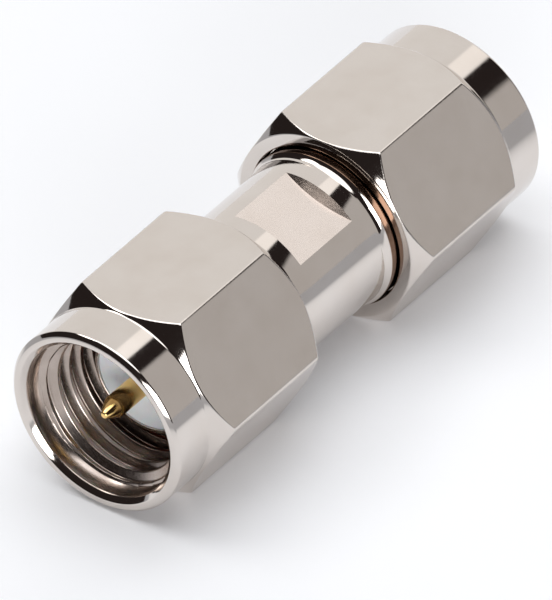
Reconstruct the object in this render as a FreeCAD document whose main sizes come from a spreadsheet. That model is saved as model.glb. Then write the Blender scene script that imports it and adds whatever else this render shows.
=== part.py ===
# Straight coaxial adapter, plug to plug, with two free-turning hexagon coupling nuts
# Units are millimetres and degrees. The axis of the adapter is X, its centre is the origin.
# It lies on one flat of each nut, so that flat faces down along -Z.
# Pieces that come in pairs are drawn for the +X end and turned half round Z for the -X end.

import FreeCAD, Part
import Sketcher
import math
import os

from FreeCAD import Placement, Rotation, Vector

doc = FreeCAD.newDocument("CoaxAdapter")

# Driving dimensions. Lengths along X are steps from one shoulder to the next, from the centre out.
sizes = [
    # bore of the barrel; the radii outside it are steps up from the bore
    ("bore_diameter", 4.14, "bore for the insulators"),
    ("rib_height", 0.22, "rib in the middle of the bore"),
    ("rib_half", 0.60, "half the length of that rib"),
    ("ferrule_wall", 0.225, "wall of the outer contact"),
    ("shoulder_step", 0.755, "outer contact up to the neck"),
    ("head_step", 0.33, "neck up to the head"),
    ("flare_rise", 0.18, "waist up to the head"),
    # waist of the barrel and its two wrench flats
    ("body_half", 2.34, "centre to the start of the flare"),
    ("flat_depth", 0.42, "waist down to the middle of a wrench flat"),
    ("flat_half", 1.60, "centre to the end of a wrench flat, on the skin of the waist"),
    ("flat_runout", 0.50, "length of the sloped end of a wrench flat"),
    ("flat_turn", 18.5, "turn of the barrel about X where it was put down"),
    # barrel from the flare to the ferrule
    ("flare_length", 0.32, "hollow flare from waist to head"),
    ("head_length", 0.74, "cylinder of the head"),
    ("neck_length", 3.00, "journal that the nut turns on, head to gasket shoulder"),
    ("ferrule_length", 1.98, "gasket shoulder to the reference plane"),
    ("ferrule_edge", 0.10, "chamfer on the tip of the outer contact"),
    # snap ring and its two grooves
    ("groove_offset", 1.40, "head to the middle of the snap ring"),
    ("groove_depth", 0.50, "neck down to the floor of the groove"),
    ("ring_floor_gap", 0.33, "snap ring at rest above that floor"),
    ("ring_section", 0.50, "snap ring from inside to outside"),
    ("ring_width", 0.40, "snap ring along X"),
    ("ring_side_gap", 0.05, "each side of the snap ring in its grooves"),
    ("ring_rim_gap", 0.07, "snap ring to the floor of the groove in the nut"),
    ("ring_mouth", 30.0, "angle of the opening in the snap ring"),
    # coupling nut, outside
    ("hex_across_flats", 8.00, "nut"),
    ("corner_break", 0.03, "taken off each corner of the hexagon, on the radius"),
    ("nut_setback", 0.32, "head's rear edge to the nut's rear face"),
    ("nut_length", 8.34, "rear face to rim"),
    ("rear_face_step", 0.03, "edge of the turned rear face, inside the flats"),
    ("collar_wall", 0.60, "round collar at the mouth"),
    ("collar_length", 1.87, "rim to the foot of the front chamfer"),
    ("hex_chamfer", 45.0, "turned chamfers at both ends of the hexagon, from the axis"),
    ("rim_chamfer", 0.16, "outer edge of the rim"),
    # coupling nut, inside
    ("recess_gap", 0.16, "round the head, on the radius"),
    ("recess_end_gap", 0.20, "front of the head to the floor of the recess"),
    ("turning_gap", 0.08, "nut on the neck, on the radius"),
    ("relief_start", 0.30, "start of the thread relief, behind the gasket shoulder"),
    ("relief_depth", 0.42, "thread relief below the crests of the thread"),
    ("thread_offset", 0.60, "gasket shoulder to the start of the thread"),
    ("thread_minor_diameter", 5.66, "over the crests of the thread"),
    ("thread_lead", 0.20, "cone into the thread"),
    ("counterbore_step", 0.47, "plain mouth below the crests of the thread"),
    ("counterbore_depth", 0.92, "rim to the cone into the thread"),
    ("mouth_chamfer", 0.22, "inner edge of the rim, on the radius"),
    # insulators, contact and gasket
    ("fit_gap", 0.01, "pressed and pushed fits, on the radius"),
    ("insulator_setback", 0.05, "insulator behind the tip of the outer contact"),
    ("contact_diameter", 1.27, "contact inside the insulators"),
    ("contact_collar_diameter", 1.90, "collar that the insulators hold"),
    ("contact_collar_half", 0.35, "half the length of that collar"),
    ("pin_diameter", 0.92, "free end of the contact"),
    ("pin_reach", 2.40, "reference plane to the tip of the pin"),
    ("pin_cone", 0.64, "pointed tip"),
    ("pin_tip_diameter", 0.24, "flat on the point"),
    ("gasket_width", 0.595, "gasket from inside to outside"),
    ("gasket_thickness", 0.55, "gasket along X"),
    # drawing aid
    ("cutter_reach", 1.00, "cutting outlines past the work"),
]

sheet = doc.addObject("Spreadsheet::Sheet", "Sizes")
sheet.set("A1", "name")
sheet.set("B1", "value")
sheet.set("C1", "meaning")
for row, (name, number, meaning) in enumerate(sizes, start=2):
    sheet.set("A%d" % row, name)
    sheet.set("B%d" % row, str(number))
    sheet.setAlias("B%d" % row, name)
    sheet.set("C%d" % row, meaning)
doc.recompute()


class Size:
    """A length or angle: its number now, and the expression that binds it to the sheet."""

    def __init__(self, number, text):
        self.number = float(number)
        self.text = text

    def __add__(self, other):
        return joined(self, other, "+", self.number + as_size(other).number)

    def __sub__(self, other):
        return joined(self, other, "-", self.number - as_size(other).number)

    def __mul__(self, other):
        return joined(self, other, "*", self.number * as_size(other).number)

    def __truediv__(self, other):
        return joined(self, other, "/", self.number / as_size(other).number)

    def __neg__(self):
        return Size(-self.number, "-(%s)" % self.text)


def as_size(thing):
    return thing if isinstance(thing, Size) else Size(thing, repr(float(thing)))


def joined(left, right, sign, number):
    return Size(number, "(%s %s %s)" % (left.text, sign, as_size(right).text))


def size(name):
    return Size(sheet.get(name), "Sizes.%s" % name)


def tan(angle):
    return Size(math.tan(math.radians(angle.number)), "tan(%s * 1deg)" % angle.text)


def cos(angle):
    return Size(math.cos(math.radians(angle.number)), "cos(%s * 1deg)" % angle.text)


zero = Size(0, "0")
half_side = Size(30, "30")  # half the angle that one side of a hexagon spans

# Shoulders of the barrel along X, from the centre to the +X end
body_end = size("body_half")
head_start = body_end + size("flare_length")
head_end = head_start + size("head_length")
shoulder = head_end + size("neck_length")
plane_end = shoulder + size("ferrule_length")
pin_end = plane_end + size("pin_reach")
gasket_front = shoulder + size("gasket_thickness")
insulator_end = plane_end - size("insulator_setback")

# Snap ring and the two grooves that it sits in
ring_middle = head_end + size("groove_offset")
ring_start = ring_middle - size("ring_width") / 2
ring_end = ring_middle + size("ring_width") / 2
groove_start = ring_start - size("ring_side_gap")
groove_end = ring_end + size("ring_side_gap")

# Shoulders of the nut along X
nut_rear = head_start + size("nut_setback")
rim = nut_rear + size("nut_length")
collar_start = rim - size("collar_length")
recess_floor = head_end + size("recess_end_gap")
relief_start = shoulder - size("relief_start")
thread_start = shoulder + size("thread_offset")
lead_end = rim - size("counterbore_depth")
thread_end = lead_end - size("thread_lead")

# Radii of the barrel, from the bore out, with the snap ring and the gasket
bore_r = size("bore_diameter") / 2
rib_r = bore_r - size("rib_height")
ferrule_r = bore_r + size("ferrule_wall")
neck_r = ferrule_r + size("shoulder_step")
head_r = neck_r + size("head_step")
body_r = head_r - size("flare_rise")
flat_r = body_r - size("flat_depth")
groove_floor_r = neck_r - size("groove_depth")
ring_inner_r = groove_floor_r + size("ring_floor_gap")
ring_outer_r = ring_inner_r + size("ring_section")
gasket_inner_r = ferrule_r + size("fit_gap")
gasket_r = gasket_inner_r + size("gasket_width")

# Radii of the nut, inside
nut_bore_r = neck_r + size("turning_gap")
recess_r = head_r + size("recess_gap")
nut_groove_r = ring_outer_r + size("ring_rim_gap")
minor_r = size("thread_minor_diameter") / 2
relief_r = minor_r + size("relief_depth")
counterbore_r = minor_r + size("counterbore_step")

# Radii of the nut, outside
hex_r = size("hex_across_flats") / 2
corner_r = hex_r / cos(half_side) - size("corner_break")
rear_face_r = hex_r - size("rear_face_step")
collar_r = counterbore_r + size("collar_wall")

# Radii of the contact
contact_r = size("contact_diameter") / 2
contact_collar_r = size("contact_collar_diameter") / 2
pin_r = size("pin_diameter") / 2


def new_body(label):
    body = doc.addObject("PartDesign::Body", label)
    body.Label = label
    return body


def new_sketch(body, name, role):
    sketch = body.newObject("Sketcher::SketchObject", name)
    plane = [item for item in body.Origin.OriginFeatures if item.Role == role][0]
    sketch.AttachmentSupport = [(plane, "")]
    sketch.MapMode = "FlatFace"
    return sketch


def bind(sketch, kind, geometry, point, value):
    """Hold one coordinate of a vertex at a value from the sheet."""
    index = sketch.addConstraint(Sketcher.Constraint(kind, -1, 1, geometry, point, value.number))
    sketch.setExpression("Constraints[%d]" % index, value.text)


def hold(sketch, geometry, point, across, up):
    """Hold both coordinates of a vertex, on the sketch's own axes where they are zero."""
    if across is zero:
        sketch.addConstraint(Sketcher.Constraint("PointOnObject", geometry, point, -2))
    else:
        bind(sketch, "DistanceX", geometry, point, across)
    if up is zero:
        sketch.addConstraint(Sketcher.Constraint("PointOnObject", geometry, point, -1))
    else:
        bind(sketch, "DistanceY", geometry, point, up)


def add_loop(sketch, points, arcs=None):
    """Draw a closed outline. arcs maps the number of a point to the centre of the arc that leaves it."""
    arcs = arcs or {}
    count = len(points)
    edges = []
    for i, (across, up) in enumerate(points):
        start = Vector(across.number, up.number, 0)
        end_across, end_up = points[(i + 1) % count]
        end = Vector(end_across.number, end_up.number, 0)
        if i in arcs:
            centre = Vector(arcs[i][0].number, arcs[i][1].number, 0)
            circle = Part.Circle(centre, Vector(0, 0, 1), (start - centre).Length)
            edge = Part.ArcOfCircle(circle, circle.parameter(start), circle.parameter(end))
        else:
            edge = Part.LineSegment(start, end)
        edges.append(sketch.addGeometry(edge, False))
    for i, edge in enumerate(edges):
        following = edges[(i + 1) % count]
        sketch.addConstraint(Sketcher.Constraint("Coincident", edge, 2, following, 1))
    for i, (across, up) in enumerate(points):
        hold(sketch, edges[i], 1, across, up)
        if i in arcs:
            bind(sketch, "DistanceX", edges[i], 3, arcs[i][0])


def revolve(body, name, sketch, angle=None):
    """Turn a section round X: a full turn, or an angle that is even on both sides of the sketch."""
    feature = body.newObject("PartDesign::Revolution", name)
    feature.Profile = sketch
    feature.ReferenceAxis = (sketch, ["H_Axis"])
    if angle is None:
        feature.Angle = 360.0
    else:
        feature.Midplane = True
        feature.Angle = angle.number
        feature.setExpression("Angle", angle.text)
    sketch.Visibility = False
    return feature


def cut_through(body, name, sketch):
    """Cut the outline right through the body, both ways from its sketch."""
    feature = body.newObject("PartDesign::Pocket", name)
    feature.Profile = sketch
    feature.Type = "ThroughAll"
    feature.Midplane = True
    sketch.Visibility = False
    return feature


def turn_section(body, name, points, arcs=None, role="XY_Plane", angle=None):
    sketch = new_sketch(body, name + "_section", role)
    add_loop(sketch, points, arcs)
    return revolve(body, name, sketch, angle)


# Barrel: one turned piece with the outer contacts at both ends
def make_barrel():
    barrel = new_body("barrel")

    # waist with the rib in its bore
    half = size("flat_half")
    rib = size("rib_half")
    turn_section(barrel, "waist", [
        (-half, body_r), (half, body_r), (half, bore_r),
        (rib, bore_r), (rib, rib_r), (-rib, rib_r), (-rib, bore_r), (-half, bore_r),
    ])

    # two flats, milled over the whole waist
    flats = new_sketch(barrel, "flats_outline", "YZ_Plane")
    outside = body_r + size("cutter_reach")
    add_loop(flats, [(-outside, flat_r), (outside, flat_r), (outside, outside), (-outside, outside)])
    add_loop(flats, [(-outside, -outside), (outside, -outside), (outside, -flat_r), (-outside, -flat_r)])
    cut_through(barrel, "flats", flats)

    # both ends, whose cones close the flats with a sloped run-out
    foot = half - size("flat_runout")
    rise = size("flare_rise")
    flare_radius = (size("flare_length") * size("flare_length") + rise * rise) / (rise + rise)
    edge = size("ferrule_edge")
    outline = [
        (foot, flat_r), (half, body_r), (body_end, body_r), (head_start, head_r),
        (head_end, head_r), (head_end, neck_r),
        (groove_start, neck_r), (groove_start, groove_floor_r),
        (groove_end, groove_floor_r), (groove_end, neck_r),
        (shoulder, neck_r), (shoulder, ferrule_r),
        (plane_end - edge, ferrule_r), (plane_end, ferrule_r - edge),
        (plane_end, bore_r), (foot, bore_r),
    ]
    flare_start = 2
    turn_section(barrel, "end_b", outline, {flare_start: (body_end, body_r + flare_radius)})
    mirrored = barrel.newObject("PartDesign::Mirrored", "end_a")
    mirrored.Originals = [barrel.Tip]
    plane = [item for item in barrel.Origin.OriginFeatures if item.Role == "YZ_Plane"][0]
    mirrored.MirrorPlane = (plane, [""])
    barrel.Tip = mirrored

    barrel.Placement = Placement(Vector(0, 0, 0), Rotation(Vector(1, 0, 0), size("flat_turn").number))
    barrel.setExpression("Placement.Rotation.Angle", size("flat_turn").text + " * 1deg")
    return barrel


# Coupling nut: a turned blank with its bore, then six flats
def make_coupling_nut(label):
    nut = new_body(label)
    slope = tan(size("hex_chamfer"))
    rear_chamfer = (corner_r - rear_face_r) / slope
    front_chamfer = (corner_r - collar_r) / slope
    rim_chamfer = size("rim_chamfer")
    mouth = size("mouth_chamfer")
    turn_section(nut, "blank", [
        (nut_rear, rear_face_r), (nut_rear + rear_chamfer, corner_r),
        (collar_start - front_chamfer, corner_r), (collar_start, collar_r),
        (rim - rim_chamfer, collar_r), (rim, collar_r - rim_chamfer),
        (rim, counterbore_r + mouth), (rim - mouth, counterbore_r),
        (lead_end, counterbore_r), (thread_end, minor_r), (thread_start, minor_r),
        (thread_start, relief_r), (relief_start, relief_r), (relief_start, nut_bore_r),
        (groove_end, nut_bore_r), (groove_end, nut_groove_r),
        (groove_start, nut_groove_r), (groove_start, nut_bore_r),
        (recess_floor, nut_bore_r), (recess_floor, recess_r), (nut_rear, recess_r),
    ])

    flats = new_sketch(nut, "hexagon", "YZ_Plane")
    outside = corner_r + size("cutter_reach")
    corner = hex_r / cos(half_side)
    side = hex_r * tan(half_side)
    add_loop(flats, [(-outside, -outside), (outside, -outside), (outside, outside), (-outside, outside)])
    add_loop(flats, [
        (side, hex_r), (-side, hex_r), (-corner, zero),
        (-side, -hex_r), (side, -hex_r), (corner, zero),
    ])
    cut_through(nut, "six_flats", flats)
    return nut


# Snap ring: sprung into the barrel's groove, open at the top
def make_snap_ring(label):
    ring = new_body(label)
    turn_section(ring, "spring", [
        (ring_start, -ring_inner_r), (ring_end, -ring_inner_r),
        (ring_end, -ring_outer_r), (ring_start, -ring_outer_r),
    ], role="XZ_Plane", angle=Size(360, "360") - size("ring_mouth"))
    return ring


# Insulator: one half, stepped to stop on the rib, with a seat for the contact's collar
def make_insulator(label):
    insulator = new_body(label)
    gap = size("fit_gap")
    hole_r = contact_r + gap
    pocket_r = contact_collar_r + gap
    pocket_end = size("contact_collar_half")
    rib_end = size("rib_half")
    turn_section(insulator, "dielectric", [
        (zero, rib_r - gap), (rib_end, rib_r - gap), (rib_end, bore_r - gap),
        (insulator_end, bore_r - gap), (insulator_end, hole_r),
        (pocket_end, hole_r), (pocket_end, pocket_r), (zero, pocket_r),
    ])
    return insulator


# Contact: one turned pin, pointed at both ends, with a collar in the middle
def make_contact():
    contact = new_body("center_contact")
    collar = size("contact_collar_half")
    cone_start = pin_end - size("pin_cone")
    tip_r = size("pin_tip_diameter") / 2
    turn_section(contact, "pins", [
        (-pin_end, zero), (-pin_end, tip_r), (-cone_start, pin_r),
        (-insulator_end, pin_r), (-insulator_end, contact_r),
        (-collar, contact_r), (-collar, contact_collar_r),
        (collar, contact_collar_r), (collar, contact_r),
        (insulator_end, contact_r), (insulator_end, pin_r),
        (cone_start, pin_r), (pin_end, tip_r), (pin_end, zero),
    ])
    return contact


# Gasket: flat rubber ring round the outer contact, against the shoulder
def make_gasket(label):
    gasket = new_body(label)
    turn_section(gasket, "seal", [
        (shoulder, gasket_inner_r), (shoulder, gasket_r),
        (gasket_front, gasket_r), (gasket_front, gasket_inner_r),
    ])
    return gasket


def at_minus_x(body):
    body.Placement = Placement(Vector(0, 0, 0), Rotation(Vector(0, 0, 1), 180))
    return body


parts = [make_barrel(), make_contact()]
for make, label in (
    (make_coupling_nut, "coupling_nut"),
    (make_snap_ring, "snap_ring"),
    (make_insulator, "insulator"),
    (make_gasket, "gasket"),
):
    parts.append(at_minus_x(make(label + "_a")))
    parts.append(make(label + "_b"))
doc.recompute()

for item in doc.Objects:
    if "Invalid" in item.State or "Error" in item.State:
        raise RuntimeError("%s did not recompute" % item.Label)
for part in parts:
    if part.Shape.isNull() or not part.Shape.isValid():
        raise RuntimeError("%s has no valid shape" % part.Label)

os.makedirs("parts", exist_ok=True)
for part in parts:
    part.Shape.exportStep("parts/%s.step" % part.Label)
    box = part.Shape.BoundBox
    print("%-16s %d solid, %7.3f mm3, X %7.3f to %7.3f" % (
        part.Label, len(part.Shape.Solids), part.Shape.Volume, box.XMin, box.XMax))
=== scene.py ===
import math

import bmesh
import bpy
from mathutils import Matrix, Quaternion, Vector


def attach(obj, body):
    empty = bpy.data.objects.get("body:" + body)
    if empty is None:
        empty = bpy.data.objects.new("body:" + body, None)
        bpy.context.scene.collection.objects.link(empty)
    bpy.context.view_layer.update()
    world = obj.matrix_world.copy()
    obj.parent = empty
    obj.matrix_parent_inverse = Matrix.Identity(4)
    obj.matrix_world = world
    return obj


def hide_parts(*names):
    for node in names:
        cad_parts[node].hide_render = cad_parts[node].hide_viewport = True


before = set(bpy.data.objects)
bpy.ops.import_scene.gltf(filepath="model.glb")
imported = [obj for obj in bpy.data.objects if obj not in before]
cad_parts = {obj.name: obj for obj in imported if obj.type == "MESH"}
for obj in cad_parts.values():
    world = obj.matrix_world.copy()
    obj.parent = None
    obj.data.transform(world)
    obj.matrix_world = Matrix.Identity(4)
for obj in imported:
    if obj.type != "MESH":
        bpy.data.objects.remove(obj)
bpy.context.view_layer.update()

mm = 0.001
scene = bpy.context.scene
print("frame loaded:", ", ".join(sorted(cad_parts)))


# Colours are written as sRGB hex, as a colour picker shows them
def hexColor(text):
    parts = [int(text[i:i + 2], 16) / 255 for i in (1, 3, 5)]
    return tuple(c / 12.92 if c <= 0.04045 else ((c + 0.055) / 1.055) ** 2.4 for c in parts) + (1.0,)


# One node with its settings; an input may be a value or another node's output
def addNode(tree, kind, inputs=None, **settings):
    node = tree.nodes.new(kind)
    for key, value in settings.items():
        setattr(node, key, value)
    for key, value in (inputs or {}).items():
        if isinstance(value, bpy.types.NodeSocket):
            tree.links.new(value, node.inputs[key])
        else:
            node.inputs[key].default_value = value
    return node


def newMaterial(name, shaderValues):
    material = bpy.data.materials.new(name)
    material.use_nodes = True
    tree = material.node_tree
    shader = tree.nodes["Principled BSDF"]
    for key, value in shaderValues.items():
        shader.inputs[key].default_value = value
    place = addNode(tree, "ShaderNodeTexCoord").outputs["Object"]
    return material, tree, shader, place


# Camera: a long lens just under a metre away, solved from the hexagons in the photograph
cameraView = {
    "azimuth": -51.10,      # degrees, 0 looks along +Y
    "elevation": 38.04,
    "roll": -3.34,
    "distance": 0.93,       # metres
    "pixelsPerMm": 26.797,  # at the adapter's centre
    "centrePixel": (277.6, 266.4),
    "image": (552, 600),
}


def makeCamera(view):
    azimuth, elevation = math.radians(view["azimuth"]), math.radians(view["elevation"])
    towards = Vector((math.sin(azimuth) * math.cos(elevation), -math.cos(azimuth) * math.cos(elevation),
                      math.sin(elevation)))
    turn = (-towards).to_track_quat("-Z", "Y") @ Quaternion((0, 0, 1), math.radians(view["roll"]))
    right, up = turn @ Vector((1, 0, 0)), turn @ Vector((0, 1, 0))
    width, height = view["image"]
    aside = (view["centrePixel"][0] - width / 2) / view["pixelsPerMm"] * mm
    below = (view["centrePixel"][1] - height / 2) / view["pixelsPerMm"] * mm
    data = bpy.data.cameras.new("productCamera")
    data.sensor_width = 36
    data.lens = view["pixelsPerMm"] * view["distance"] / mm * data.sensor_width / height
    data.clip_start, data.clip_end = 0.001, 100
    camera = bpy.data.objects.new("productCamera", data)
    camera.location = towards * view["distance"] - right * aside + up * below
    camera.rotation_mode = "QUATERNION"
    camera.rotation_quaternion = turn
    scene.collection.objects.link(camera)
    scene.camera = camera


makeCamera(cameraView)
scene.view_settings.view_transform = "Standard"
print("camera placed")


# Studio light: soft panels drawn in the world by direction, azimuth from +X and elevation in degrees
studioPanels = [
    # name, azimuth from-to, elevation from-to, edge softness, colour, strength
    ("backPanel", (-14.5, 80), (-1, 200), 2, "#FFFDFB", 0.93),
    ("backHotPatch", (-14, 10), (44, 70), 4, "#FFFCF9", 1.26),
    ("keyPanel", (84, 130), (44, 70), 6, "#FFFEFC", 4.60),
    ("sidePanel", (-80, -38.2), (-4, 50), 2, "#FFFBF8", 0.57),
    ("frontLowPanel", (-157, -122), (-3, 27), 3, "#FFFFFF", 6.00),
    ("zenithPanel", (-400, 400), (60, 200), 6, "#FFFFFF", 2.15),
]
studioShade = {"color": "#2A2423", "strength": 1.0}


def makeWorld(panels, shade):
    world = bpy.data.worlds.new("softStudio")
    world.use_nodes = True
    scene.world = world
    tree = world.node_tree
    background = tree.nodes["Background"]
    direction = addNode(tree, "ShaderNodeSeparateXYZ", {
        0: addNode(tree, "ShaderNodeTexCoord").outputs["Generated"]})
    around = addNode(tree, "ShaderNodeMath", {0: direction.outputs["Y"], 1: direction.outputs["X"]},
                     operation="ARCTAN2")
    azimuth = addNode(tree, "ShaderNodeMath", {0: around.outputs[0]}, operation="DEGREES")
    upward = addNode(tree, "ShaderNodeMath", {0: direction.outputs["Z"]}, operation="ARCSINE")
    elevation = addNode(tree, "ShaderNodeMath", {0: upward.outputs[0]}, operation="DEGREES")
    color = None
    for name, azimuths, elevations, soft, tint, strength in panels:
        share = None
        for angle, (low, high) in ((azimuth, azimuths), (elevation, elevations)):
            for edge, sense in ((low, 1), (high, -1)):
                side = addNode(tree, "ShaderNodeMapRange", {
                    "Value": angle.outputs[0],
                    "From Min": edge - sense * soft / 2, "From Max": edge + sense * soft / 2,
                }, interpolation_type="SMOOTHSTEP")
                if share is None:
                    share = side.outputs["Result"]
                else:
                    share = addNode(tree, "ShaderNodeMath", {0: share, 1: side.outputs["Result"]},
                                    operation="MULTIPLY").outputs[0]
        glow = tuple(c * strength for c in hexColor(tint)[:3]) + (1.0,)
        if color is None:
            color = tuple(c * shade["strength"] for c in hexColor(shade["color"])[:3]) + (1.0,)
        mix = addNode(tree, "ShaderNodeMix", {0: share, 6: color, 7: glow}, data_type="RGBA", label=name,
                      clamp_factor=True)
        color = mix.outputs[2]
    tree.links.new(color, background.inputs["Color"])


makeWorld(studioPanels, studioShade)


# Floor: white paper with a painted light falloff, a painted pool of light round the object that fades to pale
# grey outside the picture, so that polished metal shows a change of tone
floorPaper = {
    "sizeMetres": 4.0, "dropMm": 4.003, "middle": "#F9FBFF", "outside": "#B4B6BB",
    # direction, middle and half width in mm of the white part, across the picture and up it
    "across": ((0.599, -0.7994, -0.0459), 0.0, 10.6), "along": ((-0.5153, -0.341, -0.7862), 1.2, 11.6),
    "paintedFalloff": (1.7, 30.0),        # sum of the fourth powers of both, where the grey starts and is full
    "camera": (-0.777, -0.629, 0.0), "cameraFade": (-0.90, -0.60),  # white stays on the far side from it
}


def makeFloor(values):
    bpy.ops.mesh.primitive_plane_add(size=values["sizeMetres"])
    floor = bpy.context.object
    floor.name = "floorPaper"
    for vertex in floor.data.vertices:
        vertex.co.z = -values["dropMm"] * mm
    # uncoated paper: diffuse, no gloss worth seeing
    material, tree, shader, place = newMaterial("mattPaperPaintedFalloff", {"Roughness": 0.95, "Specular IOR Level": 0.1})
    edge = 0.0
    for axis, middle, half in (values["across"], values["along"]):
        reach = addNode(tree, "ShaderNodeVectorMath", {0: place, 1: axis}, operation="DOT_PRODUCT")
        share = addNode(tree, "ShaderNodeMath", {
            0: reach.outputs["Value"], 1: 1 / (half * mm), 2: -middle / half}, operation="MULTIPLY_ADD")
        away = addNode(tree, "ShaderNodeMath", {0: share.outputs[0]}, operation="ABSOLUTE")
        fourth = addNode(tree, "ShaderNodeMath", {0: away.outputs[0], 1: 4.0}, operation="POWER")
        edge = addNode(tree, "ShaderNodeMath", {0: fourth.outputs[0], 1: edge}, operation="ADD").outputs[0]
    start, full = values["paintedFalloff"]
    beyond = addNode(tree, "ShaderNodeMapRange", {"Value": edge, "From Min": start, "From Max": full},
                     interpolation_type="SMOOTHSTEP")
    heading = addNode(tree, "ShaderNodeVectorMath", {0: place}, operation="NORMALIZE")
    facing = addNode(tree, "ShaderNodeVectorMath", {0: heading.outputs[0], 1: values["camera"]},
                     operation="DOT_PRODUCT")
    start, full = values["cameraFade"]
    front = addNode(tree, "ShaderNodeMapRange", {"Value": facing.outputs["Value"], "From Min": start,
                                                 "From Max": full}, interpolation_type="SMOOTHSTEP")
    # painted light falloff: grey far from the object except behind it, white in a pool round the object
    paintedFalloff = addNode(tree, "ShaderNodeMath", {0: beyond.outputs["Result"], 1: front.outputs["Result"]},
                   operation="MULTIPLY")
    mix = addNode(tree, "ShaderNodeMix", {0: paintedFalloff.outputs[0], 6: hexColor(values["middle"]),
                                          7: hexColor(values["outside"])}, data_type="RGBA")
    tree.links.new(mix.outputs[2], shader.inputs["Base Color"])
    floor.data.materials.append(material)


makeFloor(floorPaper)
print("studio ready")


bandsPerScale = 3.1         # bands that the wave texture draws to a unit of its scale
bumpUnit = 0.02 * mm        # height that a bump of 1 stands for

# Bright nickel plate on turned brass: slightly warm, mirror-like with a fine grain that the cutting left
nickelPlate = {
    "color": "#D8D1CB", "stain": "#D3CBC4", "cloudMm": 1.6, "lineMm": 0.06,
    "flats": {"roughness": 0.20, "grainMm": 0.10, "grainBump": 0.05, "lines": 0.0},
    "turned": {"roughness": 0.065, "grainMm": 0.16, "grainBump": 0.01, "lines": 0.010},
    "threads": {"roughness": 0.22, "grainMm": 0.12, "grainBump": 0.03, "lines": 0.0},
    "wrenchFlat": {"roughness": 0.26, "grainMm": 0.08, "grainBump": 0.05, "lines": 0.0},
    "head": {"roughness": 0.14, "grainMm": 0.12, "grainBump": 0.04, "lines": 0.0},
}


def makeNickel(name, finish, color=nickelPlate["color"], stain=nickelPlate["stain"]):
    material, tree, shader, place = newMaterial(name, {"Metallic": 1.0})
    # slow cloudy variation of the plating, a millimetre or two across
    cloud = addNode(tree, "ShaderNodeTexNoise", {"Vector": place, "Scale": 1 / (nickelPlate["cloudMm"] * mm),
                                                 "Detail": 3.0})
    tone = addNode(tree, "ShaderNodeMapRange", {"Value": cloud.outputs["Fac"],
                                                "From Min": 0.35, "From Max": 0.75})
    mix = addNode(tree, "ShaderNodeMix", {0: tone.outputs["Result"], 6: hexColor(color), 7: hexColor(stain)},
                  data_type="RGBA")
    tree.links.new(mix.outputs[2], shader.inputs["Base Color"])
    # grain of the blasted or tumbled skin; real grain is under 0.05 mm, drawn coarser so that it shows
    grain = addNode(tree, "ShaderNodeTexNoise", {"Vector": place, "Scale": 1 / (finish["grainMm"] * mm),
                                                 "Detail": 4.0, "Roughness": 0.6})
    rough = addNode(tree, "ShaderNodeMapRange", {"Value": grain.outputs["Fac"],
                                                 "From Min": 0.3, "From Max": 0.7,
                                                 "To Min": finish["roughness"] * 0.8,
                                                 "To Max": finish["roughness"] * 1.25})
    tree.links.new(rough.outputs["Result"], shader.inputs["Roughness"])
    height = grain.outputs["Fac"]
    if finish["lines"]:
        # feed lines of the lathe, rings about X
        rings = addNode(tree, "ShaderNodeTexWave", {
            "Vector": place, "Scale": 1 / (nickelPlate["lineMm"] * mm) / bandsPerScale,
            "Distortion": 0.6, "Detail": 1.0, "Detail Scale": 0.4}, bands_direction="X")
        height = addNode(tree, "ShaderNodeMath", {
            0: rings.outputs["Fac"], 1: finish["lines"] / finish["grainBump"], 2: height},
            operation="MULTIPLY_ADD").outputs[0]
    bump = addNode(tree, "ShaderNodeBump", {"Height": height, "Strength": 1.0,
                                            "Distance": finish["grainBump"] * bumpUnit})
    tree.links.new(bump.outputs["Normal"], shader.inputs["Normal"])
    return material


nickelFlats = makeNickel("brightNickelOnFlats", nickelPlate["flats"])
nickelTurned = makeNickel("brightNickelTurned", nickelPlate["turned"])
# inside the thread the plate is duller; its darker, warmer colour is painted shade for the deep bore, darkest
# where it looks into itself
nickelThreads = makeNickel("dullNickelInThreadsPaintedShade", nickelPlate["threads"], "#BCB0A8", "#A0938A")
# the milled flats are satin: the cutter's fine texture spreads the light
nickelWrench = makeNickel("satinNickelOnWrenchFlats", nickelPlate["wrenchFlat"], "#D2C9C3", "#CCC2BB")
# the plate is thin on the head's edge, where the brass shows through it
brassyHead = makeNickel("thinNickelOverBrass", nickelPlate["head"], "#8E7464", "#6C5546")


# Gold plate on the contact: smooth, warm, with the finest turning lines
goldPlate = {"color": "#F6D898", "shade": "#E6B968", "roughness": 0.08, "cloudMm": 0.5, "lineMm": 0.05}


def makeGold(values):
    material, tree, shader, place = newMaterial("goldPlateOnPin", {"Metallic": 1.0})
    cloud = addNode(tree, "ShaderNodeTexNoise", {"Vector": place, "Scale": 1 / (values["cloudMm"] * mm),
                                                 "Detail": 3.0})
    mix = addNode(tree, "ShaderNodeMix", {0: cloud.outputs["Fac"], 6: hexColor(values["color"]),
                                          7: hexColor(values["shade"])}, data_type="RGBA")
    tree.links.new(mix.outputs[2], shader.inputs["Base Color"])
    rough = addNode(tree, "ShaderNodeMapRange", {"Value": cloud.outputs["Fac"],
                                                 "To Min": values["roughness"] * 0.7,
                                                 "To Max": values["roughness"] * 1.4})
    tree.links.new(rough.outputs["Result"], shader.inputs["Roughness"])
    rings = addNode(tree, "ShaderNodeTexWave", {
        "Vector": place, "Scale": 1 / (values["lineMm"] * mm) / bandsPerScale, "Distortion": 0.4},
        bands_direction="X")
    bump = addNode(tree, "ShaderNodeBump", {"Height": rings.outputs["Fac"], "Strength": 0.3,
                                            "Distance": 0.001 * mm})
    tree.links.new(bump.outputs["Normal"], shader.inputs["Normal"])
    return material


# PTFE: waxy white, a little translucent, with the rings that the cutter left on its end face
ptfe = {"color": "#F9FAFC", "shade": "#ECF0F5", "roughness": 0.38, "cloudMm": 0.8, "ringMm": 0.11}


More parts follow.
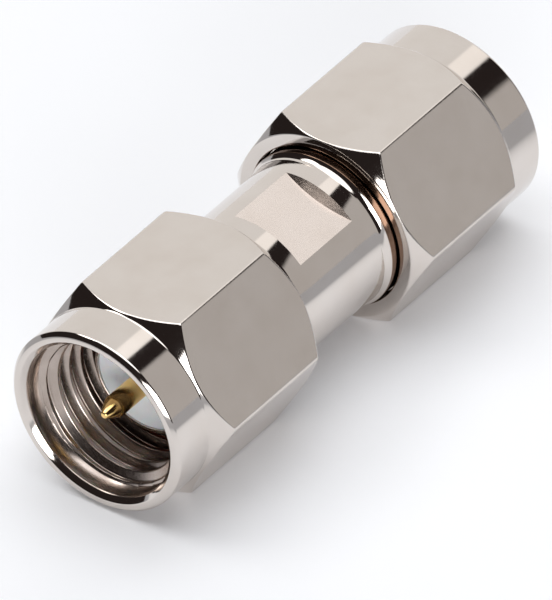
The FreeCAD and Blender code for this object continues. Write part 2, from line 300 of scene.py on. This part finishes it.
def makePtfe(values):
    material, tree, shader, place = newMaterial("ptfeCutFace", {
        "IOR": 1.35, "Roughness": values["roughness"],
        "Subsurface Weight": 0.25, "Subsurface Scale": 0.4 * mm})
    cloud = addNode(tree, "ShaderNodeTexNoise", {"Vector": place, "Scale": 1 / (values["cloudMm"] * mm),
                                                 "Detail": 4.0})
    mix = addNode(tree, "ShaderNodeMix", {0: cloud.outputs["Fac"], 6: hexColor(values["color"]),
                                          7: hexColor(values["shade"])}, data_type="RGBA")
    tree.links.new(mix.outputs[2], shader.inputs["Base Color"])
    # rings round X on the end face
    flat = addNode(tree, "ShaderNodeVectorMath", {0: place, 1: (0, 1, 1)}, operation="MULTIPLY")
    reach = addNode(tree, "ShaderNodeVectorMath", {0: flat.outputs[0]}, operation="LENGTH")
    turns = addNode(tree, "ShaderNodeMath", {
        0: reach.outputs["Value"], 1: 2 * math.pi / (values["ringMm"] * mm)}, operation="MULTIPLY")
    rings = addNode(tree, "ShaderNodeMath", {0: turns.outputs[0]}, operation="SINE")
    height = addNode(tree, "ShaderNodeMath", {0: rings.outputs[0], 1: 0.5, 2: cloud.outputs["Fac"]},
                     operation="MULTIPLY_ADD")
    bump = addNode(tree, "ShaderNodeBump", {"Height": height.outputs[0], "Strength": 0.5,
                                            "Distance": 0.004 * mm})
    tree.links.new(bump.outputs["Normal"], shader.inputs["Normal"])
    return material


# Silicone rubber gasket: matt brick red, faintly dusty
siliconeRubber = {"color": "#8A2F20", "dust": "#A2533F", "roughness": 0.55, "dustMm": 0.25}


def makeRubber(values):
    material, tree, shader, place = newMaterial("siliconeRubber", {"IOR": 1.41})
    dust = addNode(tree, "ShaderNodeTexNoise", {"Vector": place, "Scale": 1 / (values["dustMm"] * mm),
                                                "Detail": 5.0})
    mix = addNode(tree, "ShaderNodeMix", {0: dust.outputs["Fac"], 6: hexColor(values["color"]),
                                          7: hexColor(values["dust"])}, data_type="RGBA")
    tree.links.new(mix.outputs[2], shader.inputs["Base Color"])
    rough = addNode(tree, "ShaderNodeMapRange", {"Value": dust.outputs["Fac"],
                                                 "To Min": values["roughness"] * 0.8,
                                                 "To Max": values["roughness"] * 1.2})
    tree.links.new(rough.outputs["Result"], shader.inputs["Roughness"])
    bump = addNode(tree, "ShaderNodeBump", {"Height": dust.outputs["Fac"], "Strength": 0.4,
                                            "Distance": 0.01 * mm})
    tree.links.new(bump.outputs["Normal"], shader.inputs["Normal"])
    return material


# Phosphor bronze of the snap rings: reddish gold, drawn wire with lengthwise streaks
springBronze = {"color": "#C08A55", "streak": "#96683C", "roughness": 0.30, "streakMm": 0.6, "stretch": 12}


def makeBronze(values):
    material, tree, shader, place = newMaterial("phosphorBronzeSpring", {"Metallic": 1.0})
    stretched = addNode(tree, "ShaderNodeMapping", {"Vector": place, "Scale": (values["stretch"], 1, 1)})
    streaks = addNode(tree, "ShaderNodeTexNoise", {
        "Vector": stretched.outputs[0], "Scale": 1 / (values["streakMm"] * mm), "Detail": 3.0})
    mix = addNode(tree, "ShaderNodeMix", {0: streaks.outputs["Fac"], 6: hexColor(values["color"]),
                                          7: hexColor(values["streak"])}, data_type="RGBA")
    tree.links.new(mix.outputs[2], shader.inputs["Base Color"])
    rough = addNode(tree, "ShaderNodeMapRange", {"Value": streaks.outputs["Fac"],
                                                 "To Min": values["roughness"] * 0.7,
                                                 "To Max": values["roughness"] * 1.3})
    tree.links.new(rough.outputs["Result"], shader.inputs["Roughness"])
    return material


goldOnPin = makeGold(goldPlate)
whitePtfe = makePtfe(ptfe)
redRubber = makeRubber(siliconeRubber)
bronzeSpring = makeBronze(springBronze)
print("materials ready")


meshLimits = {
    "merge": 0.0002 * mm, "seamMerge": 0.0005 * mm, "degenerate": 0.0001 * mm,
    "steep": 33, "border": 8,   # degrees: sharp anywhere, and sharp between two finishes
    "short": 0.01 * mm,         # shorter edges are never a border
}


# An outline is a list of (x, radius, corner rounding, finish) in mm; finish belongs to the run that follows
def roundCorners(outline, closed, steps=4):
    points = []
    count = len(outline)
    for i, (x, r, rounding, finish) in enumerate(outline):
        here = Vector((x, r))
        if not rounding or (not closed and i in (0, count - 1)):
            points.append((x, r, finish))
            continue
        before = Vector(outline[i - 1][:2]) - here
        after = Vector(outline[(i + 1) % count][:2]) - here
        if before.length < 1e-6 or after.length < 1e-6:
            points += [(x, r, finish)] * (steps + 1)
            continue
        reach = min(rounding, before.length * 0.45, after.length * 0.45)
        start, end = here + before.normalized() * reach, here + after.normalized() * reach
        for k in range(steps + 1):
            t = k / steps
            p = start * (1 - t) ** 2 + here * (2 * t * (1 - t)) + end * t ** 2
            points.append((p.x, p.y, finish))
    return points


# Angles run from the top towards -Y, so a right-hand screw moves towards +X as they grow
def turnedMesh(name, outlineAt, angles, closed, materials):
    columns = [roundCorners(outlineAt(angle), closed) for angle in angles]
    rows = len(columns[0])
    mesh = bmesh.new()
    grid = []
    for angle, points in zip(angles, columns):
        side, up = -math.sin(math.radians(angle)), math.cos(math.radians(angle))
        grid.append([mesh.verts.new((x * mm, r * side * mm, r * up * mm)) for x, r, finish in points])
    for j in range(len(angles)):
        nextColumn = (j + 1) % len(angles)
        for i in range(rows if closed else rows - 1):
            k = (i + 1) % rows
            face = mesh.faces.new((grid[j][i], grid[j][k], grid[nextColumn][k], grid[nextColumn][i]))
            face.material_index = columns[j][i][2]
            face.smooth = True
    return finishMesh(name, mesh, materials)


# Edges that the rounding leaves are sharp: steep ones, and the borders of a milled flat
def markSharp(mesh):
    for edge in mesh.edges:
        if len(edge.link_faces) == 2:
            first, second = edge.link_faces
            bend = math.degrees(first.normal.angle(second.normal, 0))
            sameFinish = first.material_index == second.material_index
            edge.smooth = bend < meshLimits["steep"] and (
                bend < meshLimits["border"] or sameFinish or edge.calc_length() < meshLimits["short"])


def finishMesh(name, mesh, materials):
    bmesh.ops.remove_doubles(mesh, verts=mesh.verts, dist=meshLimits["merge"])
    bmesh.ops.dissolve_degenerate(mesh, edges=mesh.edges, dist=meshLimits["degenerate"])
    bmesh.ops.recalc_face_normals(mesh, faces=mesh.faces)
    markSharp(mesh)
    data = bpy.data.meshes.new(name)
    mesh.to_mesh(data)
    mesh.free()
    for material in materials:
        data.materials.append(material)
    piece = bpy.data.objects.new(name, data)
    scene.collection.objects.link(piece)
    return piece


# Large faces keep their own normals, so flats stay flat up to their rounded edges
def settleNormals(piece):
    modifier = piece.modifiers.new("faceNormals", "WEIGHTED_NORMAL")
    modifier.weight = 100
    modifier.keep_sharp = True
    flatten(piece)


def flatten(piece):
    bpy.context.view_layer.update()
    result = bpy.data.meshes.new_from_object(piece.evaluated_get(bpy.context.evaluated_depsgraph_get()))
    piece.modifiers.clear()
    piece.data = result


# The -X end is the +X end turned half round Z
def turnedAbout(piece):
    for vertex in piece.data.vertices:
        vertex.co.x, vertex.co.y = -vertex.co.x, -vertex.co.y


# Coupling nut: hexagon with turned chamfers and a round collar, sizes in mm
couplingNut = {
    "rear": 2.98, "rim": 11.32, "acrossFlats": 8.0, "cornerRadius": 4.588, "rearFaceRadius": 3.97,
    "collarRadius": 3.90, "collarStart": 9.45, "rimChamfer": 0.16, "mouthRadius": 3.30, "mouthChamfer": 0.22,
    "threadEnd": 10.40, "threadStart": 7.00, "reliefRadius": 3.25, "reliefStart": 6.10, "boreRadius": 3.13,
    "grooveRadius": 3.45, "grooveFrom": 4.55, "grooveTo": 5.05, "recessFloor": 3.60, "recessRadius": 3.46,
    "edgeRound": 0.05, "hexEdgeRound": 0.06,
}
# 1/4-36 internal thread: pitch 0.7056 mm, 60 degree flanks
couplingThread = {
    "pitch": 0.7056, "crestRadius": 2.83, "rootRadius": 3.175, "crestWidth": 0.17, "flankDegrees": 30,
    "crestRound": 0.03, "rootRound": 0.05, "leadLength": 0.20, "leadRadius": 3.30,
    "stepsPerPitch": 28, "phase": 0.0,
}


# Angles of the nut's columns in degrees, close together where two flats meet
def nutAngles():
    half = [2.5 * i for i in range(11)] + [26.6, 28.0, 28.8, 29.35]
    sector = [-a for a in reversed(half[1:])] + half + [30.0]
    return [60 * side + a for side in range(6) for a in sector]


def nutOutline(angle):
    n = couplingNut
    fromFlat = (angle + 30) % 60 - 30
    flatRadius = min(n["acrossFlats"] / 2 / math.cos(math.radians(fromFlat)), n["cornerRadius"])
    rearEdge = n["rear"] + flatRadius - n["rearFaceRadius"]
    frontEdge = n["collarStart"] - (flatRadius - n["collarRadius"])
    edge, hexEdge = n["edgeRound"], n["hexEdgeRound"]
    flats, turned, threads = 0, 1, 2
    return [
        (n["rear"], n["recessRadius"], edge, turned),
        (n["rear"], n["rearFaceRadius"], edge, turned),
        (rearEdge, flatRadius, hexEdge, flats),
        (frontEdge, flatRadius, hexEdge, turned),
        (n["collarStart"], n["collarRadius"], edge, turned),
        (n["rim"] - n["rimChamfer"], n["collarRadius"], edge, turned),
        (n["rim"], n["collarRadius"] - n["rimChamfer"], edge, turned),
        (n["rim"], n["mouthRadius"] + n["mouthChamfer"], edge, turned),
        (n["rim"] - n["mouthChamfer"], n["mouthRadius"], edge, threads),
        (n["threadEnd"], n["mouthRadius"], 0, threads),
        (n["threadStart"], n["reliefRadius"], 0, threads),
        (n["reliefStart"], n["reliefRadius"], edge, threads),
        (n["reliefStart"], n["boreRadius"], edge, turned),
        (n["grooveTo"], n["boreRadius"], edge, turned),
        (n["grooveTo"], n["grooveRadius"], edge, turned),
        (n["grooveFrom"], n["grooveRadius"], edge, turned),
        (n["grooveFrom"], n["boreRadius"], edge, turned),
        (n["recessFloor"], n["boreRadius"], edge, turned),
        (n["recessFloor"], n["recessRadius"], edge, turned),
    ]


# The thread starts as a flat strip, x the angle and y the way along, that the nodes wind into a helix
def threadStrip(angles):
    t, n = couplingThread, couplingNut
    step = t["pitch"] / t["stepsPerPitch"]
    low = n["threadStart"] - t["pitch"]
    rows = math.ceil((n["threadEnd"] - low) / step) + 1
    columns = [a - angles[0] for a in angles] + [360.0]
    verts = [(math.radians(a), (low + step * i) * mm, 0) for a in columns for i in range(rows)]
    faces = [(j * rows + i, (j + 1) * rows + i, (j + 1) * rows + i + 1, j * rows + i + 1)
             for j in range(len(columns) - 1) for i in range(rows - 1)]
    data = bpy.data.meshes.new("threadStrip")
    data.from_pydata(verts, [], faces)
    strip = bpy.data.objects.new("threadStrip", data)
    scene.collection.objects.link(strip)
    return strip


def threadTree():
    t = couplingThread
    tree = bpy.data.node_groups.new("windInternalThread", "GeometryNodeTree")
    tree.interface.new_socket("Geometry", in_out="OUTPUT", socket_type="NodeSocketGeometry")
    tree.interface.new_socket("Geometry", in_out="INPUT", socket_type="NodeSocketGeometry")
    for name in ("Pitch", "Crest Radius", "Root Radius", "Crest Width", "Start", "End", "Lead Length",
                 "Lead Radius", "Relief Radius", "First Angle", "Phase"):
        tree.interface.new_socket(name, in_out="INPUT", socket_type="NodeSocketFloat")
    tree.interface.new_socket("Material", in_out="INPUT", socket_type="NodeSocketMaterial")
    given = addNode(tree, "NodeGroupInput").outputs
    place = addNode(tree, "ShaderNodeSeparateXYZ", {0: addNode(tree, "GeometryNodeInputPosition").outputs[0]})
    known = {socket.name: socket for socket in given}
    known.update({"turned": place.outputs["X"], "along": place.outputs["Y"]})
    # each line is one sum of the winding: result, operation, and what goes in
    for result, operation, *values in (
        ("turns", "DIVIDE", "turned", 2 * math.pi),
        ("advance", "MULTIPLY", "turns", "Pitch"),
        ("travel", "ADD", "along", "advance"),
        ("fromStart", "MAXIMUM", "travel", "Start"),
        ("station", "MINIMUM", "fromStart", "End"),
        # share of the pitch, 0.5 in the middle of a crest
        ("unwound", "SUBTRACT", "station", "advance"),
        ("pitches", "DIVIDE", "unwound", "Pitch"),
        ("shifted", "ADD", "pitches", "Phase"),
        ("share", "FRACT", "shifted"),
        ("aside", "SUBTRACT", "share", 0.5),
        ("apart", "ABSOLUTE", "aside"),
        ("fromCrest", "MULTIPLY", "apart", "Pitch"),
        # straight flanks, with crest and root a little rounded
        ("halfCrest", "MULTIPLY", "Crest Width", 0.5),
        ("onFlank", "SUBTRACT", "fromCrest", "halfCrest"),
        ("rise", "DIVIDE", "onFlank", math.tan(math.radians(t["flankDegrees"]))),
        ("flank", "ADD", "Crest Radius", "rise"),
        ("crested", "SMOOTH_MAX", "flank", "Crest Radius", t["crestRound"] * mm),
        ("rooted", "SMOOTH_MIN", "crested", "Root Radius", t["rootRound"] * mm),
        # the lead cone opens towards the mouth
        ("leadRise", "SUBTRACT", "Lead Radius", "Crest Radius"),
        ("slope", "DIVIDE", "leadRise", "Lead Length"),
        ("toEnd", "SUBTRACT", "End", "station"),
        ("drop", "MULTIPLY", "toEnd", "slope"),
        ("lead", "SUBTRACT", "Lead Radius", "drop"),
        ("cut", "MAXIMUM", "rooted", "lead"),
        # what lies before the start folds up onto the edge of the relief
        ("firstEdge", "ADD", "Start", 0.001 * mm),
        ("inRelief", "LESS_THAN", "travel", "firstEdge"),
        ("step", "SUBTRACT", "Relief Radius", "cut"),
        ("radius", "MULTIPLY_ADD", "inRelief", "step", "cut"),
        ("angle", "ADD", "turned", "First Angle"),
        ("sine", "SINE", "angle"),
        ("cosine", "COSINE", "angle"),
        ("side", "MULTIPLY", "radius", "sine"),
        ("sideways", "MULTIPLY", "side", -1.0),
        ("upwards", "MULTIPLY", "radius", "cosine"),
    ):
        inputs = {i: known[value] if isinstance(value, str) else value for i, value in enumerate(values)}
        known[result] = addNode(tree, "ShaderNodeMath", inputs, operation=operation, label=result).outputs[0]
    wound = addNode(tree, "ShaderNodeCombineXYZ", {"X": known["station"], "Y": known["sideways"],
                                                   "Z": known["upwards"]})
    moved = addNode(tree, "GeometryNodeSetPosition", {"Geometry": given["Geometry"],
                                                      "Position": wound.outputs[0]})
    merged = addNode(tree, "GeometryNodeMergeByDistance", {"Geometry": moved.outputs[0],
                                                           "Distance": meshLimits["seamMerge"]})
    real = addNode(tree, "GeometryNodeRealizeInstances", {"Geometry": merged.outputs[0]})
    painted = addNode(tree, "GeometryNodeSetMaterial", {"Geometry": real.outputs[0],
                                                        "Material": given["Material"]})
    addNode(tree, "NodeGroupOutput", {"Geometry": painted.outputs[0]})
    return tree


def makeNut(name, tree):
    t, n = couplingThread, couplingNut
    angles = nutAngles()
    strip = threadStrip(angles)
    modifier = strip.modifiers.new("windInternalThread", "NODES")
    modifier.node_group = tree
    values = {"Pitch": t["pitch"] * mm, "Crest Radius": t["crestRadius"] * mm,
              "Root Radius": t["rootRadius"] * mm, "Crest Width": t["crestWidth"] * mm,
              "Start": n["threadStart"] * mm, "End": n["threadEnd"] * mm,
              "Lead Length": t["leadLength"] * mm, "Lead Radius": t["leadRadius"] * mm,
              "Relief Radius": n["reliefRadius"] * mm,
              "First Angle": math.radians(angles[0]), "Phase": t["phase"], "Material": nickelThreads}
    for item in tree.interface.items_tree:
        if item.in_out == "INPUT" and item.name in values:
            modifier[item.identifier] = values[item.name]
    flatten(strip)

    nut = turnedMesh(name, nutOutline, angles, True, [nickelFlats, nickelTurned, nickelThreads])
    mesh = bmesh.new()
    mesh.from_mesh(nut.data)
    # the plain face that closed the outline between mouth and relief makes way for the thread
    low, high = (n["threadStart"] + 0.01) * mm, (n["threadEnd"] - 0.01) * mm
    inside = (n["reliefRadius"] + 0.1) * mm
    spare = [f for f in mesh.faces if min(v.co.x for v in f.verts) < low
             and max(v.co.x for v in f.verts) > high
             and max(v.co.yz.length for v in f.verts) < inside]
    bmesh.ops.delete(mesh, geom=spare, context="FACES")
    plain = set(mesh.faces)
    mesh.from_mesh(strip.data)
    for face in set(mesh.faces) - plain:
        face.material_index = 2
        face.smooth = True
    bmesh.ops.remove_doubles(mesh, verts=mesh.verts, dist=meshLimits["seamMerge"])
    bmesh.ops.recalc_face_normals(mesh, faces=mesh.faces)
    openEdges = sum(1 for e in mesh.edges if not e.is_manifold)
    mesh.to_mesh(nut.data)
    mesh.free()
    bpy.data.objects.remove(strip)
    print(name, "faces", len(nut.data.polygons), "open edges", openEdges)
    return nut


threadNodes = threadTree()
for name, body in (("coupling_nut_b", "nut_b"), ("coupling_nut_a", "nut_a")):
    nut = makeNut("couplingNut" + name[-1].upper(), threadNodes)
    if body == "nut_a":
        turnedAbout(nut)
    settleNormals(nut)
    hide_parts(name)
    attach(nut, body)
print("coupling nuts ready")


# Barrel: turned waist with two milled flats, flares, heads, necks and outer contacts, sizes in mm
barrelBody = {
    "waistRadius": 3.20, "flatHeight": 2.78, "flatHalf": 1.60, "flatFoot": 1.38, "flatTurn": 18.5,
    "flareStart": 2.34, "headStart": 2.66, "headEnd": 3.40, "headRadius": 3.38, "neckRadius": 3.05,
    "grooveFrom": 4.55, "grooveTo": 5.05, "grooveRadius": 2.55, "shoulder": 6.40, "ferruleRadius": 2.295,
    "ferruleEnd": 8.38, "ferruleEdge": 0.10, "boreRadius": 2.07, "ribHalf": 0.60, "ribRadius": 1.85,
    "edgeRound": 0.03, "fineRound": 0.02, "flareSteps": 6,
}


# Angles of the barrel's columns in degrees, close together at the borders of a wrench flat
def barrelAngles():
    b = barrelBody
    edge = math.degrees(math.acos(b["flatHeight"] / b["waistRadius"]))
    half = [3.0 * i for i in range(9)] + [26.5, 28.6, edge - 0.35, edge, edge + 0.35, 31.0, 33.0]
    half += [36.0 + 3 * i for i in range(18)]
    quarter = [-a for a in reversed(half[1:])] + half + [90.0]
    return [b["flatTurn"] + 180 * side + a for side in range(2) for a in quarter]


def barrelOutline(angle):
    b = barrelBody
    fromFlat = (angle - b["flatTurn"] + 90) % 180 - 90
    skin = min(b["flatHeight"] / max(math.cos(math.radians(fromFlat)), 0.01), b["waistRadius"])
    climb = (skin - b["flatHeight"]) / (b["waistRadius"] - b["flatHeight"])
    flatEnd = b["flatFoot"] + (b["flatHalf"] - b["flatFoot"]) * climb
    flats, turned, head = 0, 1, 2
    halfWidth = math.degrees(math.acos(b["flatHeight"] / b["waistRadius"]))
    if not -halfWidth - 0.01 <= fromFlat < halfWidth - 0.01:
        flats = turned
    edge, fine, steps = b["edgeRound"], b["fineRound"], b["flareSteps"]
    # the flare is an arc that leaves the waist without a bend
    rise, run = b["headRadius"] - b["waistRadius"], b["headStart"] - b["flareStart"]
    hollow = (rise * rise + run * run) / (2 * rise)
    flare = [(b["flareStart"] + run * k / steps,
              b["waistRadius"] + hollow - math.sqrt(hollow ** 2 - (run * k / steps) ** 2))
             for k in range(steps + 1)]
    half = [(flatEnd, skin, 0, flats), (b["flatHalf"], b["waistRadius"], 0, turned),
            (b["flatHalf"] + 0.03, b["waistRadius"], 0, turned)]
    half += [(x, r, 0, turned) for x, r in flare[:-1]]
    half += [
        (b["headStart"], b["headRadius"], fine, head),
        (b["headEnd"], b["headRadius"], edge, turned),
        (b["headEnd"], b["neckRadius"], edge, turned),
        (b["grooveFrom"], b["neckRadius"], edge, turned),
        (b["grooveFrom"], b["grooveRadius"], edge, turned),
        (b["grooveTo"], b["grooveRadius"], edge, turned),
        (b["grooveTo"], b["neckRadius"], edge, turned),
        (b["shoulder"], b["neckRadius"], edge, turned),
        (b["shoulder"], b["ferruleRadius"], edge, turned),
        (b["ferruleEnd"] - b["ferruleEdge"], b["ferruleRadius"], fine, turned),
        (b["ferruleEnd"], b["ferruleRadius"] - b["ferruleEdge"], fine, turned),
        (b["ferruleEnd"], b["boreRadius"], fine, turned),
        (b["ribHalf"], b["boreRadius"], edge, turned),
        (b["ribHalf"], b["ribRadius"], edge, turned),
    ]
    mirrored = [(-x, r, rounding, turned) for x, r, rounding, finish in reversed(half)]
    mirrored = [(x, r, rounding, head if abs(x + b["headEnd"]) < 1e-6 and r > b["neckRadius"] else finish)
                for x, r, rounding, finish in mirrored]
    mirrored[-2:] = [(-b["flatHalf"], b["waistRadius"], 0, flats), (-flatEnd, skin, 0, flats)]
    return half + mirrored


barrel = turnedMesh("barrelBody", barrelOutline, barrelAngles(), True,
                    [nickelWrench, nickelTurned, brassyHead])
settleNormals(barrel)
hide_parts("barrel")
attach(barrel, "barrel")
print("barrel ready, faces", len(barrel.data.polygons))


# Round pieces on the axis, sizes in mm
centerContact = {
    "radius": 0.635, "collarRadius": 0.95, "collarHalf": 0.35, "pinRadius": 0.46, "pinStart": 8.33,
    "coneStart": 10.14, "tip": 10.78, "tipRadius": 0.12,
    "edgeRound": 0.02, "collarRound": 0.03, "coneRound": 0.08, "tipRound": 0.06,
}
insulatorHalf = {"radius": 2.06, "ribRadius": 1.84, "ribHalf": 0.60, "front": 8.33, "hole": 0.645,
                 "pocket": 0.96, "pocketEnd": 0.35, "edgeRound": 0.03, "ribRound": 0.02}
gasketRing = {"inner": 2.305, "outer": 2.90, "from": 6.40, "to": 6.95, "edge": 0.10}
roundAngles = [3.0 * i for i in range(120)]


def contactOutline(angle):
    c = centerContact
    edge = c["edgeRound"]
    half = [
        (c["collarHalf"], c["collarRadius"], c["collarRound"], 0), (c["collarHalf"], c["radius"], edge, 0),
        (c["pinStart"], c["radius"], edge, 0), (c["pinStart"], c["pinRadius"], edge, 0),
        (c["coneStart"], c["pinRadius"], c["coneRound"], 0), (c["tip"], c["tipRadius"], c["tipRound"], 0),
        (c["tip"], 0.0, 0, 0),
    ]
    return [(-x, r, rounding, finish) for x, r, rounding, finish in reversed(half)] + half


def insulatorOutline(angle):
    i = insulatorHalf
    edge, rib = i["edgeRound"], i["ribRound"]
    return [
        (0.0, i["ribRadius"], rib, 0), (i["ribHalf"], i["ribRadius"], rib, 0),
        (i["ribHalf"], i["radius"], edge, 0), (i["front"], i["radius"], edge, 0),
        (i["front"], i["hole"], edge, 0), (i["pocketEnd"], i["hole"], 0, 0),
        (i["pocketEnd"], i["pocket"], 0, 0), (0.0, i["pocket"], 0, 0),
    ]


def gasketOutline(angle):
    g = gasketRing
    return [(g["from"], g["inner"], g["edge"], 0), (g["from"], g["outer"], g["edge"], 0),
            (g["to"], g["outer"], g["edge"], 0), (g["to"], g["inner"], g["edge"], 0)]


def addRoundPiece(name, node, outline, closed, material, farSide=False):
    piece = turnedMesh(name, outline, roundAngles, closed, [material])
    if farSide:
        turnedAbout(piece)
    settleNormals(piece)
    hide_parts(node)
    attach(piece, "barrel")


addRoundPiece("centerContact", "center_contact", contactOutline, False, goldOnPin)
for end, farSide in (("A", True), ("B", False)):
    addRoundPiece("insulator" + end, "insulator_" + end.lower(), insulatorOutline, True,
                  whitePtfe, farSide)
    addRoundPiece("gasket" + end, "gasket_" + end.lower(), gasketOutline, True,
                  redRubber, farSide)
    # the snap rings keep their own shape and only take the finish
    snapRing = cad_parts["snap_ring_" + end.lower()]
    for index in range(len(snapRing.data.materials)):
        snapRing.data.materials[index] = bronzeSpring
print("round pieces ready")
